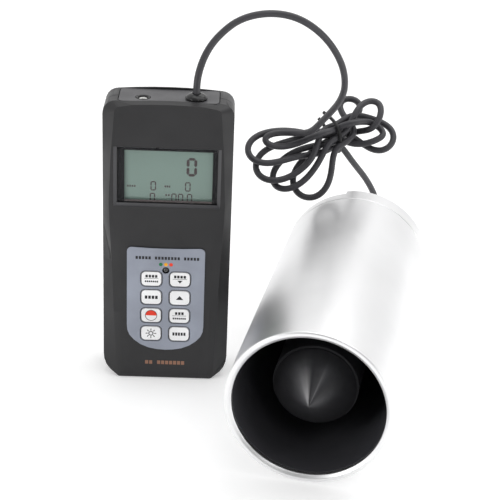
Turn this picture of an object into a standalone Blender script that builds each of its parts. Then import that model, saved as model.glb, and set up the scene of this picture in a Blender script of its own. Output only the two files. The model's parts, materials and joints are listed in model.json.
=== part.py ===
"""Handheld grain moisture meter with a coiled cable and a cylindrical sensor cup.

Row frame: origin at the centre of the meter's flat bottom end, +Z up the meter,
-Y out of its front face, +X to the right seen from the front.
Lengths below are in millimetres and are converted when the meshes are made.
"""
import bpy
import bmesh
import numpy as np
from math import atan2, cos, degrees, pi, radians, sin, sqrt
from mathutils import Matrix, Vector

MM = 0.001

# ------------------------------------------------------------------ driving dimensions
METER_W = 68.0
METER_H = 158.8
METER_T = 30.0
FRONT = -METER_T / 2
BACK = METER_T / 2
WALL = 2.2
SPLIT = -1.0
SHOULDER_Y = -9.5
FOOT_R = 12.0
HEAD_R = 7.0
TOP_BOW = 1.2
GAP = 0.35

CUP_R = 41.5
CUP_BORE = 37.8
CUP_H = 182.0
CUP_CAP = 12.0
CUP_SEG = 56
CORE_R = 21.6
CORE_TOP = 158.6
CONE_H = 21.1
MOUTH = Vector((73.4, -113.3, 41.5))
CUP_YAW = 11.6

KEY_W = 10.6
KEY_H = 8.2
KEY_X = 7.65
KEY_ROWS = (61.0, 50.0, 39.0, 28.0)

CABLE_R = 1.85
GROMMET = (14.0, -3.5)
JACK = (-13.5, -3.5)
HANK_CENTRE = Vector((94.5, 81.0, 111.0))
HANK_LEAN = 24.7

CASE_SCREWS = ((-27.0, 72.0), (27.0, 72.0), (-24.0, 149.0), (24.0, 149.0))

# ------------------------------------------------------------------ scene set-up
for old in list(bpy.data.objects):
    bpy.data.objects.remove(old, do_unlink=True)

PARTS = bpy.data.collections.new("grain_moisture_meter")
CUTTERS = bpy.data.collections.new("cutters")
bpy.context.scene.collection.children.link(PARTS)
bpy.context.scene.collection.children.link(CUTTERS)

COLOURS = {
    "case": ((0.045, 0.045, 0.048), 0.5, 0.0),
    "case_back": ((0.04, 0.04, 0.043), 0.55, 0.0),
    "end_panel": ((0.06, 0.06, 0.063), 0.5, 0.0),
    "window": ((0.75, 0.8, 0.78), 0.08, 0.0),
    "lcd": ((0.26, 0.34, 0.3), 0.25, 0.0),
    "light_guide": ((0.8, 0.82, 0.8), 0.3, 0.0),
    "board": ((0.03, 0.16, 0.07), 0.45, 0.0),
    "elastomer": ((0.5, 0.5, 0.52), 0.6, 0.0),
    "label": ((0.3, 0.33, 0.4), 0.45, 0.0),
    "key": ((0.82, 0.82, 0.82), 0.45, 0.0),
    "led": ((0.3, 0.02, 0.02), 0.3, 0.0),
    "jack": ((0.1, 0.1, 0.1), 0.4, 0.0),
    "rubber": ((0.03, 0.03, 0.032), 0.6, 0.0),
    "cell": ((0.25, 0.3, 0.35), 0.35, 0.6),
    "plated": ((0.7, 0.7, 0.68), 0.3, 1.0),
    "screw": ((0.35, 0.35, 0.36), 0.35, 1.0),
    "cup_metal": ((0.86, 0.86, 0.87), 0.28, 1.0),
    "liner": ((0.015, 0.015, 0.016), 0.35, 0.0),
    "core": ((0.02, 0.02, 0.022), 0.35, 0.3),
}


def material(slot):
    found = bpy.data.materials.get(slot)
    if found:
        return found
    colour, rough, metal = COLOURS[slot]
    made = bpy.data.materials.new(slot)
    made.use_nodes = True
    shader = made.node_tree.nodes["Principled BSDF"]
    shader.inputs["Base Color"].default_value = (*colour, 1.0)
    shader.inputs["Roughness"].default_value = rough
    shader.inputs["Metallic"].default_value = metal
    return made


# ------------------------------------------------------------------ modelling helpers
def adopt(obj, slot=None, parent=None):
    """Puts an object in its collection: a part with a material, or a cutter without."""
    for coll in list(obj.users_collection):
        coll.objects.unlink(obj)
    if slot:
        PARTS.objects.link(obj)
        obj.data.materials.clear()
        obj.data.materials.append(material(slot))
    else:
        CUTTERS.objects.link(obj)
        obj.hide_render = True
        obj.display_type = "WIRE"
    if parent:
        obj.parent = parent
    return obj


def smooth(obj, angle=32):
    obj.data.shade_smooth()
    obj.data.set_sharp_from_angle(angle=radians(angle))
    return obj


def box(name, low, high, slot=None, bevel=0.0, parent=None):
    bpy.ops.mesh.primitive_cube_add(size=1)
    obj = bpy.context.object
    obj.name = name
    low = Vector(low) * MM
    high = Vector(high) * MM
    obj.data.transform(Matrix.Diagonal((*(high - low), 1)))
    obj.location = (low + high) / 2
    if bevel:
        mod = obj.modifiers.new("edges", "BEVEL")
        mod.width = bevel * MM
        mod.segments = 2
        mod.limit_method = "ANGLE"
    return adopt(obj, slot, parent)


def rod(name, r, start, end, slot=None, seg=20, parent=None):
    """A cylinder between two points."""
    start = Vector(start) * MM
    end = Vector(end) * MM
    bpy.ops.mesh.primitive_cylinder_add(vertices=seg, radius=r * MM, depth=(end - start).length)
    obj = bpy.context.object
    obj.name = name
    obj.location = (start + end) / 2
    obj.rotation_mode = "QUATERNION"
    obj.rotation_quaternion = Vector((0, 0, 1)).rotation_difference(end - start)
    smooth(obj)
    return adopt(obj, slot, parent)


def turned(name, profile, slot=None, seg=48, closed=True, parent=None, location=(0, 0, 0)):
    """A turned piece: (radius, height) points down the outer side, then up the inner one."""
    mesh = bpy.data.meshes.new(name)
    verts = [(r * MM, 0, z * MM) for r, z in profile]
    edges = [(i, i + 1) for i in range(len(verts) - 1)]
    if closed:
        edges.append((len(verts) - 1, 0))
    mesh.from_pydata(verts, edges, [])
    obj = bpy.data.objects.new(name, mesh)
    obj.location = Vector(location) * MM
    bpy.context.scene.collection.objects.link(obj)
    mod = obj.modifiers.new("turn", "SCREW")
    mod.steps = seg
    mod.render_steps = seg
    mod.use_merge_vertices = True
    mod.merge_threshold = 1e-5
    mod.use_smooth_shade = True
    return adopt(obj, slot, parent)


def to_mesh(curve_obj):
    """Turns a curve object into a mesh object with welded caps."""
    depsgraph = bpy.context.evaluated_depsgraph_get()
    mesh = bpy.data.meshes.new_from_object(curve_obj.evaluated_get(depsgraph))
    work = bmesh.new()
    work.from_mesh(mesh)
    bmesh.ops.remove_doubles(work, verts=work.verts, dist=1e-6)
    work.to_mesh(mesh)
    work.free()
    obj = bpy.data.objects.new(curve_obj.name, mesh)
    bpy.context.scene.collection.objects.link(obj)
    obj.matrix_world = curve_obj.matrix_world.copy()
    name = curve_obj.name
    bpy.data.objects.remove(curve_obj, do_unlink=True)
    obj.name = name
    return obj


def plate(name, outline, low, high, slot=None, facing="Y", parent=None):
    """A flat outline with thickness. facing Y: outline is (x, z); facing Z: outline is (x, y)."""
    curve = bpy.data.curves.new(name, "CURVE")
    curve.dimensions = "2D"
    curve.fill_mode = "BOTH"
    curve.extrude = (high - low) / 2 * MM
    line = curve.splines.new("POLY")
    line.points.add(len(outline) - 1)
    for point, (a, b) in zip(line.points, outline):
        point.co = (a * MM, b * MM, 0, 1)
    line.use_cyclic_u = True
    obj = bpy.data.objects.new(name, curve)
    bpy.context.scene.collection.objects.link(obj)
    middle = (low + high) / 2 * MM
    if facing == "Y":
        obj.rotation_euler = (pi / 2, 0, 0)
        obj.location = (0, middle, 0)
    else:
        obj.location = (0, 0, middle)
    bpy.context.view_layer.update()
    return adopt(to_mesh(obj), slot, parent)


def loft(name, rings, slot=None):
    """A solid through rings of matching points, first ring in front (lowest y)."""
    work = bmesh.new()
    rows = [[work.verts.new(Vector(p) * MM) for p in ring] for ring in rings]
    count = len(rows[0])
    for near, far in zip(rows, rows[1:]):
        for i in range(count):
            j = (i + 1) % count
            work.faces.new((near[i], near[j], far[j], far[i]))
    work.faces.new(rows[0])
    work.faces.new(rows[-1])
    bmesh.ops.recalc_face_normals(work, faces=work.faces)
    mesh = bpy.data.meshes.new(name)
    work.to_mesh(mesh)
    work.free()
    obj = bpy.data.objects.new(name, mesh)
    bpy.context.scene.collection.objects.link(obj)
    return smooth(adopt(obj, slot), 25)


def combine(obj, other, how="DIFFERENCE"):
    mod = obj.modifiers.new(how.lower(), "BOOLEAN")
    mod.operation = how
    mod.object = other
    mod.solver = "EXACT"
    return obj


def rounded(x, z, w, h, r, seg=4):
    """Points of a rounded rectangle, centre x and z."""
    points = []
    for cx, cz, start in ((1, -1, -90), (1, 1, 0), (-1, 1, 90), (-1, -1, 180)):
        for k in range(seg + 1):
            a = radians(start + 90 * k / seg)
            points.append((x + cx * (w / 2 - r) + r * cos(a), z + cz * (h / 2 - r) + r * sin(a)))
    return points


def arc(cx, cz, r, start, end, seg):
    return [
        (cx + r * cos(radians(start + (end - start) * k / seg)),
         cz + r * sin(radians(start + (end - start) * k / seg)))
        for k in range(seg + 1)
    ]


# ------------------------------------------------------------------ meter case
SIDE_STATIONS = (40.0, 70.0, 92.0, 104.0, 130.0)
PANEL_HALF = {40.0: 28.0, 70.0: 29.0, 92.0: 30.1, 104.0: 30.5, 130.0: 29.4}
BOW_STATIONS = (18.0, 9.0, 0.0, -9.0, -18.0)


def top_line(x):
    return METER_H + TOP_BOW * (1 - (x / 27.0) ** 2)


def mirror_round(half):
    """Closes a right-hand half outline with its mirror image."""
    return half + [(-x, z) for x, z in reversed(half)]


def case_outline():
    half = arc(METER_W / 2 - FOOT_R, FOOT_R, FOOT_R, -90, 0, 6)
    half += [(METER_W / 2, z) for z in SIDE_STATIONS]
    half += arc(METER_W / 2 - HEAD_R, METER_H - HEAD_R, HEAD_R, 0, 90, 5)
    half += [(x, top_line(x)) for x in BOW_STATIONS[:2]] + [(0.0001, top_line(0))]
    return mirror_round(half)


def panel_outline():
    """Edge of the dark front panel, where the side chamfers begin."""
    half = arc(24.7, 1.9, 1.9, -90, 0, 6)
    half += [(PANEL_HALF[z], z) for z in SIDE_STATIONS]
    half += arc(24.5, 154.3, 3.0, 0, 90, 5)
    half += [(x, top_line(x) - 1.0) for x in BOW_STATIONS[:2]] + [(0.0001, top_line(0) - 1.0)]
    return mirror_round(half)


def crease_outline():
    """The flat strip of the lower front, inside two faint vertical creases."""
    half = arc(22.6, 1.8, 1.4, -90, 0, 6)
    half += [(24.0, z) for z in SIDE_STATIONS[:3]]
    half += [(PANEL_HALF[z] - 1.6, z) for z in SIDE_STATIONS[3:]]
    half += arc(24.0, 153.8, 2.2, 0, 90, 5)
    half += [(x, top_line(x) - 2.0) for x in BOW_STATIONS[:2]] + [(0.0001, top_line(0) - 2.0)]
    return mirror_round(half)


def ring(outline, y, inset=0.0, side_drop=0.0, foot_lift=0.0):
    """Lifts an outline to depth y.

    side_drop pushes the lower half's edge back; foot_lift brings the lower corners forward.
    """
    sx = (METER_W / 2 - inset) / (METER_W / 2)
    sz = (METER_H / 2 - inset) / (METER_H / 2)
    points = []
    for x, z in outline:
        low = max(0.0, min(1.0, (98.0 - z) / 6.0))
        corner = max(0.0, 1.0 - z / 14.0)
        points.append((x * sx, y + side_drop * low - foot_lift * corner,
                       METER_H / 2 + (z - METER_H / 2) * sz))
    return points


case_line = case_outline()
panel_line = panel_outline()
crease_line = crease_outline()

front_cover = loft("front_cover", [
    ring(crease_line, FRONT),
    ring(panel_line, FRONT, side_drop=0.4),
    ring(case_line, SHOULDER_Y, foot_lift=4.0),
    ring(case_line, SPLIT),
], "case")
front_cavity = loft("front_cavity", [
    ring(panel_line, FRONT + WALL, inset=WALL),
    ring(case_line, SHOULDER_Y + 0.8, inset=WALL),
    ring(case_line, SPLIT + 2, inset=WALL),
])
combine(front_cover, front_cavity)

# Raised frame behind the display opening, then the stepped recess through it.
display_block = box("display_block", (-28.6, FRONT + 1.0, 100.6), (28.6, -11.3, 137.6))
combine(front_cover, display_block, "UNION")


def recess_ring(half_w, low, high, y):
    return [(-half_w, y, low), (half_w, y, low), (half_w, y, high), (-half_w, y, high)]


display_recess = loft("display_recess", [
    recess_ring(28.0, 102.5, 135.6, FRONT - 1),
    recess_ring(28.0, 102.5, 135.6, FRONT + 0.3),
    recess_ring(26.3, 104.0, 134.9, FRONT + 1.5),
    recess_ring(26.3, 104.0, 134.9, FRONT + 2.9),
])
combine(front_cover, display_recess)
display_hole = box("display_hole", (-24.6, FRONT, 104.9), (24.6, -10.0, 134.0))
combine(front_cover, display_hole)

# Bosses for the case screws.
for i, (sx, sz) in enumerate(CASE_SCREWS, 1):
    boss = rod("front_boss_%d" % i, 3.2, (sx, FRONT + 1.2, sz), (sx, SPLIT - 0.3, sz), seg=16)
    hole = rod("front_boss_hole_%d" % i, 1.7, (sx, FRONT + 3.4, sz), (sx, SPLIT + 3, sz), seg=12)
    combine(front_cover, boss, "UNION")
    combine(front_cover, hole)

# Key openings and the lamp opening.
keys = [(side, row, x, z)
        for row, z in enumerate(KEY_ROWS, 1)
        for side, x in (("left", -KEY_X), ("right", KEY_X))]
LED_AT = (0.0, 66.2)
for side, row, x, z in keys:
    hole = plate("key_hole_%d_%s" % (row, side), rounded(x, z, KEY_W + 0.8, KEY_H + 0.8, 2.5, 3),
                 FRONT - 2, FRONT + 4)
    combine(front_cover, hole)
lamp_hole = rod("lamp_hole", 1.95, (LED_AT[0], FRONT - 2, LED_AT[1]),
                (LED_AT[0], FRONT + 4, LED_AT[1]), seg=16)
combine(front_cover, lamp_hole)

# Opening for the end panel, shared by both covers.
end_opening = plate("end_opening", rounded(0, 0, 52.6, 21.2, 2.6), 150.0, 170.0, facing="Z")
combine(front_cover, end_opening)

rear_cover = loft("rear_cover", [
    ring(case_line, SPLIT + GAP),
    ring(case_line, 11.5),
    ring(case_line, 13.9, inset=1.1),
    ring(case_line, BACK, inset=3.6),
], "case_back")
rear_cavity = loft("rear_cavity", [
    ring(case_line, SPLIT - 2, inset=WALL),
    ring(case_line, 11.0, inset=WALL),
    ring(case_line, BACK - WALL, inset=4.6),
])
combine(rear_cover, rear_cavity)
combine(rear_cover, end_opening)
for i, (sx, sz) in enumerate(CASE_SCREWS, 1):
    boss = rod("rear_boss_%d" % i, 4.0, (sx, SPLIT + GAP, sz), (sx, BACK - 1.0, sz), seg=16)
    hole = rod("rear_boss_hole_%d" % i, 1.7, (sx, SPLIT - 3, sz), (sx, BACK + 3, sz), seg=12)
    head = rod("rear_head_hole_%d" % i, 3.0, (sx, BACK - 4.2, sz), (sx, BACK + 3, sz), seg=16)
    combine(rear_cover, boss, "UNION")
    combine(rear_cover, hole)
    combine(rear_cover, head)
door_opening = box("door_opening", (-25.5, 12.6, -3), (25.5, BACK + 3, 66.0))
combine(rear_cover, door_opening)
bay_opening = box("bay_opening", (-24.2, 9.0, 12.5), (24.2, BACK + 3, 65.0))
combine(rear_cover, bay_opening)

# The door's section is drawn in (y, z) and given the width of the opening.
door_section = [(12.95, 0.7), (13.6, 0.7), (14.9, 2.2), (14.9, 65.6), (12.95, 65.6)]
battery_door = loft("battery_door", [
    [(-25.1, y, z) for y, z in door_section],
    [(25.1, y, z) for y, z in door_section],
], "case_back")

for i, (sx, sz) in enumerate(CASE_SCREWS, 1):
    turned("case_screw_%d" % i, [
        (0, -BACK + 2.3), (2.6, -BACK + 2.3), (2.6, -BACK + 3.9), (1.3, -BACK + 3.9), (1.3, 10.9), (0, 10.9),
    ][::-1], "screw", seg=14, closed=False, location=(sx, 0, sz)).rotation_euler = (pi / 2, 0, 0)

top_end_panel = plate("top_end_panel", rounded(0, 0, 51.8, 20.4, 2.3), 155.0, 159.0, "end_panel", "Z")
combine(top_end_panel, rod("grommet_hole", 4.4, (*GROMMET, 140), (*GROMMET, 170), seg=24))
combine(top_end_panel, rod("jack_hole", 4.0, (*JACK, 140), (*JACK, 170), seg=24))

turned("cable_grommet", [
    (2.7, 162.0), (3.6, 161.7), (4.8, 161.1), (5.5, 160.4), (5.75, 159.9), (5.75, 159.35),
    (4.0, 159.35), (4.0, 154.65), (5.6, 154.65), (5.6, 152.6), (2.25, 152.6), (2.25, 162.0),
], "rubber", seg=24, location=(*GROMMET, 0))
turned("data_jack", [
    (3.6, 159.1), (3.6, 150.0), (0, 150.0), (0, 151.5), (2.7, 151.5), (2.7, 158.7), (3.1, 159.1),
][::1], "jack", seg=24, closed=True, location=(*JACK, 0))

# ------------------------------------------------------------------ display and boards
box("display_window", (-26.0, -12.0 - 1.5, 104.3), (26.0, -12.0 - 0.45, 134.6), "window")
box("lcd_glass", (-26.5, -10.95, 101.6), (26.5, -9.15, 137.0), "lcd")
box("lcd_backlight", (-24.0, -8.8, 104.2), (24.0, -6.8, 136.0), "light_guide")
box("zebra_connector", (-22.0, -8.8, 101.8), (22.0, -6.75, 103.6), "elastomer")
box("main_circuit_board", (-22.5, -6.4, 76.0), (22.5, -4.8, 144.0), "board")
box("keypad_board", (-20.0, -9.9, 18.0), (20.0, -8.3, 72.5), "board")
box("key_dome_sheet", (-17.5, -10.85, 22.5), (17.5, -10.25, 64.1), "elastomer")


def label_outline():
    half = [(4.5, 18.3), (9.0, 19.2), (13.2, 21.0), (16.8, 23.7), (19.3, 26.6), (20.5, 29.6), (20.8, 33.0)]
    half += arc(18.3, 76.9, 2.5, 0, 90, 4)
    half += [(9.0, 79.0)]
    return [(0.0, 18.0)] + half + [(0.0, 78.9)] + [(-x, z) for x, z in reversed(half)]


keypad_label = plate("keypad_label", label_outline(), FRONT - 0.75, FRONT - 0.3, "label")
for side, row, x, z in keys:
    opening = bpy.data.objects["key_hole_%d_%s" % (row, side)]
    combine(keypad_label, opening)
combine(keypad_label, lamp_hole)

for side, row, x, z in keys:
    cap = plate("key_%d_%s" % (row, side), rounded(0, 0, KEY_W, KEY_H, 2.2, 4),
                -1.6, 1.9, "key")
    flange = plate("key_flange_%d_%s" % (row, side), rounded(0, 0, KEY_W + 2.0, KEY_H + 2.0, 2.6, 3), 1.75, 2.4)
    place = Vector((x, FRONT + 0.75, z)) * MM
    cap.location = place
    flange.location = place + Vector((0, 2.1 * MM, 0)) - Vector((0, 0.0, 0))
    cap.location += Vector((0, 0.15 * MM, 0))
    combine(cap, flange, "UNION")

turned("status_led", [
    (0, 15.6), (0.9, 15.45), (1.45, 14.9), (1.55, 14.2), (1.55, 10.2), (0, 10.2),
], "led", seg=16, closed=False, location=(LED_AT[0], 0, LED_AT[1])).rotation_euler = (pi / 2, 0, 0)

# ------------------------------------------------------------------ batteries
CELL_R = 5.2
CELL_Y = 5.4
for i in range(4):
    up = 1 if i % 2 == 0 else -1
    turned("battery_cell_%d" % (i + 1), [
        (0, 22.2), (1.9, 22.2), (1.9, 21.2), (CELL_R - 0.5, 21.2), (CELL_R, 20.7),
        (CELL_R, -21.7), (CELL_R - 0.5, -22.2), (0, -22.2),
    ], "cell", seg=20, closed=False, location=(-17.25 + 11.5 * i, CELL_Y, 39.0)
    ).rotation_euler = (0 if up > 0 else pi, 0, 0)
box("battery_contact_lower", (-23.0, 1.2, 15.2), (23.0, 8.6, 16.2), "plated")
box("battery_contact_upper", (-23.0, 1.2, 61.8), (23.0, 8.6, 62.8), "plated")

# ------------------------------------------------------------------ sensor cup
# Cup frame: base face at local z 0, mouth at local z CUP_H, local +Y up as the cup lies.
cup_axis = bpy.data.objects.new("cup_axis", None)
bpy.context.scene.collection.objects.link(cup_axis)
AXIS = Vector((sin(radians(CUP_YAW)), cos(radians(CUP_YAW)), 0))
cup_axis.location = (MOUTH + AXIS * CUP_H) * MM
cup_axis.rotation_euler = (pi / 2, 0, radians(-CUP_YAW))
bpy.context.view_layer.update()

turned("cup_tube", [
    (39.4, CUP_H), (40.9, CUP_H), (CUP_R, CUP_H - 0.6), (CUP_R, CUP_CAP + 0.95), (CUP_R - 0.6, CUP_CAP + 0.35),
    (39.7, CUP_CAP + 0.35), (39.7, CUP_H - 3.5), (CUP_BORE, CUP_H - 3.5), (CUP_BORE, CUP_H - 1.2),
], "cup_metal", seg=CUP_SEG, parent=cup_axis)
turned("cup_liner", [
    (39.3, CUP_H - 3.9), (39.3, 24.4), (CUP_BORE, 24.4), (CUP_BORE, CUP_H - 3.9),
], "liner", seg=CUP_SEG, parent=cup_axis)
turned("cup_floor", [
    (39.3, 24.0), (39.3, 18.75), (3.5, 18.75), (3.5, 24.0),
], "liner", seg=CUP_SEG, parent=cup_axis)
turned("core_electrode", [
    (20.9, CORE_TOP - 0.35), (CORE_R, CORE_TOP - 1.05), (CORE_R, 24.35), (18.6, 24.35), (18.6, CORE_TOP - 0.35),
], "core", seg=44, parent=cup_axis)
turned("core_cone", [
    (0, CORE_TOP + CONE_H), (0.8, CORE_TOP + CONE_H - 0.5), (20.9, CORE_TOP + 0.6), (20.9, CORE_TOP),
    (18.2, CORE_TOP), (18.2, CORE_TOP - 6), (3.5, CORE_TOP - 6), (3.5, CORE_TOP - 2), (0, CORE_TOP - 2),
], "core", seg=44, closed=False, parent=cup_axis)
turned("core_bolt", [
    (0, CORE_TOP - 2.4), (3.0, CORE_TOP - 2.4), (3.0, 7.8), (5.2, 7.8), (5.2, 7.6), (5.2, 4.8), (0, 4.8),
], "screw", seg=18, closed=False, parent=cup_axis)

base_cap = turned("base_cap", [
    (38.6, 18.4), (39.2, 17.8), (39.2, CUP_CAP), (CUP_R - 0.5, CUP_CAP), (CUP_R, CUP_CAP - 0.5), (CUP_R, 0.6),
    (CUP_R - 0.6, 0), (36.2, 0), (36.2, 8.2), (3.5, 8.2), (3.5, 18.4),
], "cup_metal", seg=CUP_SEG, parent=cup_axis)
# A quarter of the skirt is cut back so the cable can leave when the cup stands upright.
NOTCH = (102.0, 152.0)
NOTCH_DEEP = 4.5
notch_line = [(30 * cos(radians(a)), 30 * sin(radians(a))) for a in np.linspace(NOTCH[1], NOTCH[0], 9)]
notch_line += [(46 * cos(radians(a)), 46 * sin(radians(a))) for a in np.linspace(NOTCH[0], NOTCH[1], 9)]
notch = plate("skirt_notch", notch_line, -3, NOTCH_DEEP, facing="Z")
notch.parent = cup_axis
combine(base_cap, notch)

BOARD_HOLES = [(24.0 * cos(radians(a)), 24.0 * sin(radians(a))) for a in (90, 210, 330)]
GLAND = (6.0, -12.5)
cover_plate = turned("base_cover_plate", [
    (35.8, 4.3), (35.8, 2.4), (0, 2.4), (0, 4.3),
][::1], "cup_metal", seg=CUP_SEG, closed=True, parent=cup_axis)
combine(cover_plate, rod("gland_hole", 4.4, (*GLAND, -5), (*GLAND, 7.5), seg=24, parent=cup_axis))
sensor_board = turned("sensor_board", [
    (31.0, 7.3), (31.0, 5.9), (7.5, 5.9), (7.5, 7.3),
], "board", seg=32, closed=True, parent=cup_axis)
combine(sensor_board, rod("gland_room", 6.0, (*GLAND, 3), (*GLAND, 11), seg=16, parent=cup_axis))
for i, (x, y) in enumerate(BOARD_HOLES, 1):
    screw = turned("base_screw_%d" % i, [
        (0, 13.0), (1.4, 13.0), (1.4, 2.1), (2.7, 2.1), (2.7, 0.7), (0, 0.7),
    ], "screw", seg=14, closed=False, parent=cup_axis, location=(x, y, 0))
    combine(cover_plate, rod("plate_hole_%d" % i, 1.8, (x, y, 0), (x, y, 7), seg=12, parent=cup_axis))
    combine(sensor_board, rod("board_hole_%d" % i, 1.8, (x, y, 4), (x, y, 9), seg=12, parent=cup_axis))
    combine(base_cap, rod("cap_hole_%d" % i, 1.8, (x, y, 6), (x, y, 14), seg=12, parent=cup_axis))
turned("cup_cable_gland", [
    (4.0, 7.4), (4.0, 2.0), (5.6, 2.0), (5.6, 0.8), (2.9, 0.4), (2.25, 0.4), (2.25, 7.4),
], "rubber", seg=20, closed=True, parent=cup_axis, location=(*GLAND, 0))

# ------------------------------------------------------------------ cable
# Hank frame: right, up and back, with the hank leaning away from the front.
LEAN = radians(HANK_LEAN)
RIGHT = np.array([1.0, 0.0, 0.0])
UP = np.array([0.0, sin(LEAN), cos(LEAN)])
REAR = np.array([0.0, cos(LEAN), -sin(LEAN)])
STRAND_PITCH = 4.3
TIE_HALF_LENGTH = 2.6
LEAST_BEND = 9.0
ARCH_FOOT = 130.0


def hank(right, up, back):
    return np.array(HANK_CENTRE) + right * RIGHT + up * UP + back * REAR


BUNDLE = 0.93 * RIGHT + 0.30 * UP + 0.20 * REAR
BUNDLE /= np.linalg.norm(BUNDLE)
BUNDLE_UP = UP - UP.dot(BUNDLE) * BUNDLE
BUNDLE_UP /= np.linalg.norm(BUNDLE_UP)
BUNDLE_REAR = np.cross(BUNDLE, BUNDLE_UP)
BUNDLE_REAR *= np.sign(BUNDLE_REAR.dot(REAR))


def slot_centre(row, column):
    """Place of one strand in the tied waist: three staggered rows of three."""
    shift = (column - 1) * STRAND_PITCH + (0.25 if row % 2 else -0.25) * STRAND_PITCH
    return (np.array(HANK_CENTRE) + shift * BUNDLE_UP
            + (row - 1) * STRAND_PITCH * 0.87 * BUNDLE_REAR)


def through_tie(row, column, way):
    centre = slot_centre(row, column)
    return [centre + way * s * BUNDLE for s in (-TIE_HALF_LENGTH, 0.0, TIE_HALF_LENGTH)]


def lobe(angle, length, half_width, depth, tilt, upper_first=True):
    """One leaf-shaped loop of the hank, from the waist out to its tip and back."""
    out = np.array([cos(radians(angle)), sin(radians(angle))])
    across = np.array([-out[1], out[0]])
    if (across[1] < 0) == upper_first:
        across = -across
    points = []
    for t in (0.14, 0.24, 0.34, 0.43, 0.5, 0.57, 0.66, 0.76, 0.86):
        along = length * sin(pi * t) ** 0.85
        side = half_width * sin(2 * pi * t)
        right, up = along * out + side * across
        points.append(hank(right, up, depth * sin(pi * t) + tilt * up))
    return points


# Each loop: angle of its tip from the right, length, half width, depth behind the waist.
LEFT_LOBES = [(-174, 47, 5.0, -7.0), (-139, 49, 9.0, 5.0), (-119, 42, 11.0, 7.0), (-153, 53, 10.5, 1.0),
              (-167, 55, 9.5, -4.0)]
RIGHT_LOBES = [(6, 32, 4.5, -3.0), (37, 34, 7.5, -5.0), (64, 27, 8.5, 6.0), (1, 35, 9.5, 2.0)]
TIE_SLOTS = [(0, 2), (1, 0), (0, 1), (2, 1), (0, 0), (2, 2), (1, 2), (1, 1), (2, 0)]
FRONT_TILT = 0.28


def cable_route():
    gx, gy = GROMMET
    route = [(gx, gy, 149.0), (gx, gy, 155.0), (gx, gy, 161.5), (14.1, -2.6, 168.0),
             (15.5, 0.2, 174.7), (18.4, 3.9, 181.5), (23.1, 8.0, 187.8), (34.5, 14.0, 196.3),
             (49.6, 17.6, 199.6), (65.1, 20.9, 196.7), (79.8, 24.9, 186.2), (90.5, 30.2, 169.7),
             (93.4, 35.7, 154.8), (91.5, 40.6, 145.5), (87.2, 47.7, 136.1), (82.6, 55.0, 127.6),
             (77.5, 62.0, 119.0)]
    route = [np.array(p) for p in route]
    route.append(hank(-22.0, -0.5, -10.0))
    for i, (angle, length, half, depth) in enumerate(LEFT_LOBES):
        leaf = lobe(angle, length, half, depth, FRONT_TILT)
        route += leaf[2:] if i == 0 else leaf
        if i < len(RIGHT_LOBES):
            route += through_tie(*TIE_SLOTS[2 * i], 1)
            angle, length, half, depth = RIGHT_LOBES[i]
            route += lobe(angle, length, half, depth, FRONT_TILT)
            route += through_tie(*TIE_SLOTS[2 * i + 1], -1)
    route += through_tie(*TIE_SLOTS[-1], 1)
    route += [hank(6.3, -11.2, 9.0), hank(13.9, -16.1, 20.0), hank(21.3, -23.7, 32.0), hank(26.9, -31.2, 41.0),
              hank(30.2, -38.0, 47.0)]
    gland = np.array(cup_axis.matrix_world @ (Vector((*GLAND, 0)) * MM) / MM)
    outward = np.array(AXIS)
    route += [gland + outward * 46 + np.array([1.5, 0, 13.0]), gland + outward * 33 + np.array([0.5, 0, 3.0]),
              gland + outward * 20, gland + outward * 10, gland + outward * 3, gland - outward * 6.0]
    return route


def through(points, step):
    """Even samples along a smooth line through the points."""
    points = np.array(points)
    knots = np.concatenate([[0], np.cumsum(np.linalg.norm(np.diff(points, axis=0), axis=1) ** 0.5)])
    ends = np.vstack([2 * points[0] - points[1], points, 2 * points[-1] - points[-2]])
    ends_k = np.concatenate([[2 * knots[0] - knots[1]], knots, [2 * knots[-1] - knots[-2]]])
    line = []
    for i in range(1, len(ends) - 2):
        k0, k1, k2, k3 = ends_k[i - 1:i + 3]
        for k in np.linspace(k1, k2, 24, endpoint=False):
            a1 = (k1 - k) / (k1 - k0) * ends[i - 1] + (k - k0) / (k1 - k0) * ends[i]
            a2 = (k2 - k) / (k2 - k1) * ends[i] + (k - k1) / (k2 - k1) * ends[i + 1]
            a3 = (k3 - k) / (k3 - k2) * ends[i + 1] + (k - k2) / (k3 - k2) * ends[i + 2]
            b1 = (k2 - k) / (k2 - k0) * a1 + (k - k0) / (k2 - k0) * a2
            b2 = (k3 - k) / (k3 - k1) * a2 + (k - k1) / (k3 - k1) * a3
            line.append((k2 - k) / (k2 - k1) * b1 + (k - k1) / (k2 - k1) * b2)
    line.append(points[-1])
    return resample(np.array(line), step)


def resample(line, step):
    length = np.concatenate([[0], np.cumsum(np.linalg.norm(np.diff(line, axis=0), axis=1))])
    count = int(round(length[-1] / step))
    at = np.linspace(0, length[-1], count + 1)
    return np.stack([np.interp(at, length, line[:, k]) for k in range(3)], axis=1)


def fixed_mask(line):
    """Samples in the free arch, inside the tie and in the gland keep their place."""
    offset = (line - np.array(HANK_CENTRE))
    along = offset @ BUNDLE
    away = np.linalg.norm(offset - np.outer(along, BUNDLE), axis=1)
    held = (np.abs(along) < TIE_HALF_LENGTH - 0.8) & (away < 9.0)
    top = int(np.argmax(line[:, 2]))
    held[:top + int(np.argmax(line[top:, 2] < ARCH_FOOT))] = True
    held[-9:] = True
    return held


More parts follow.
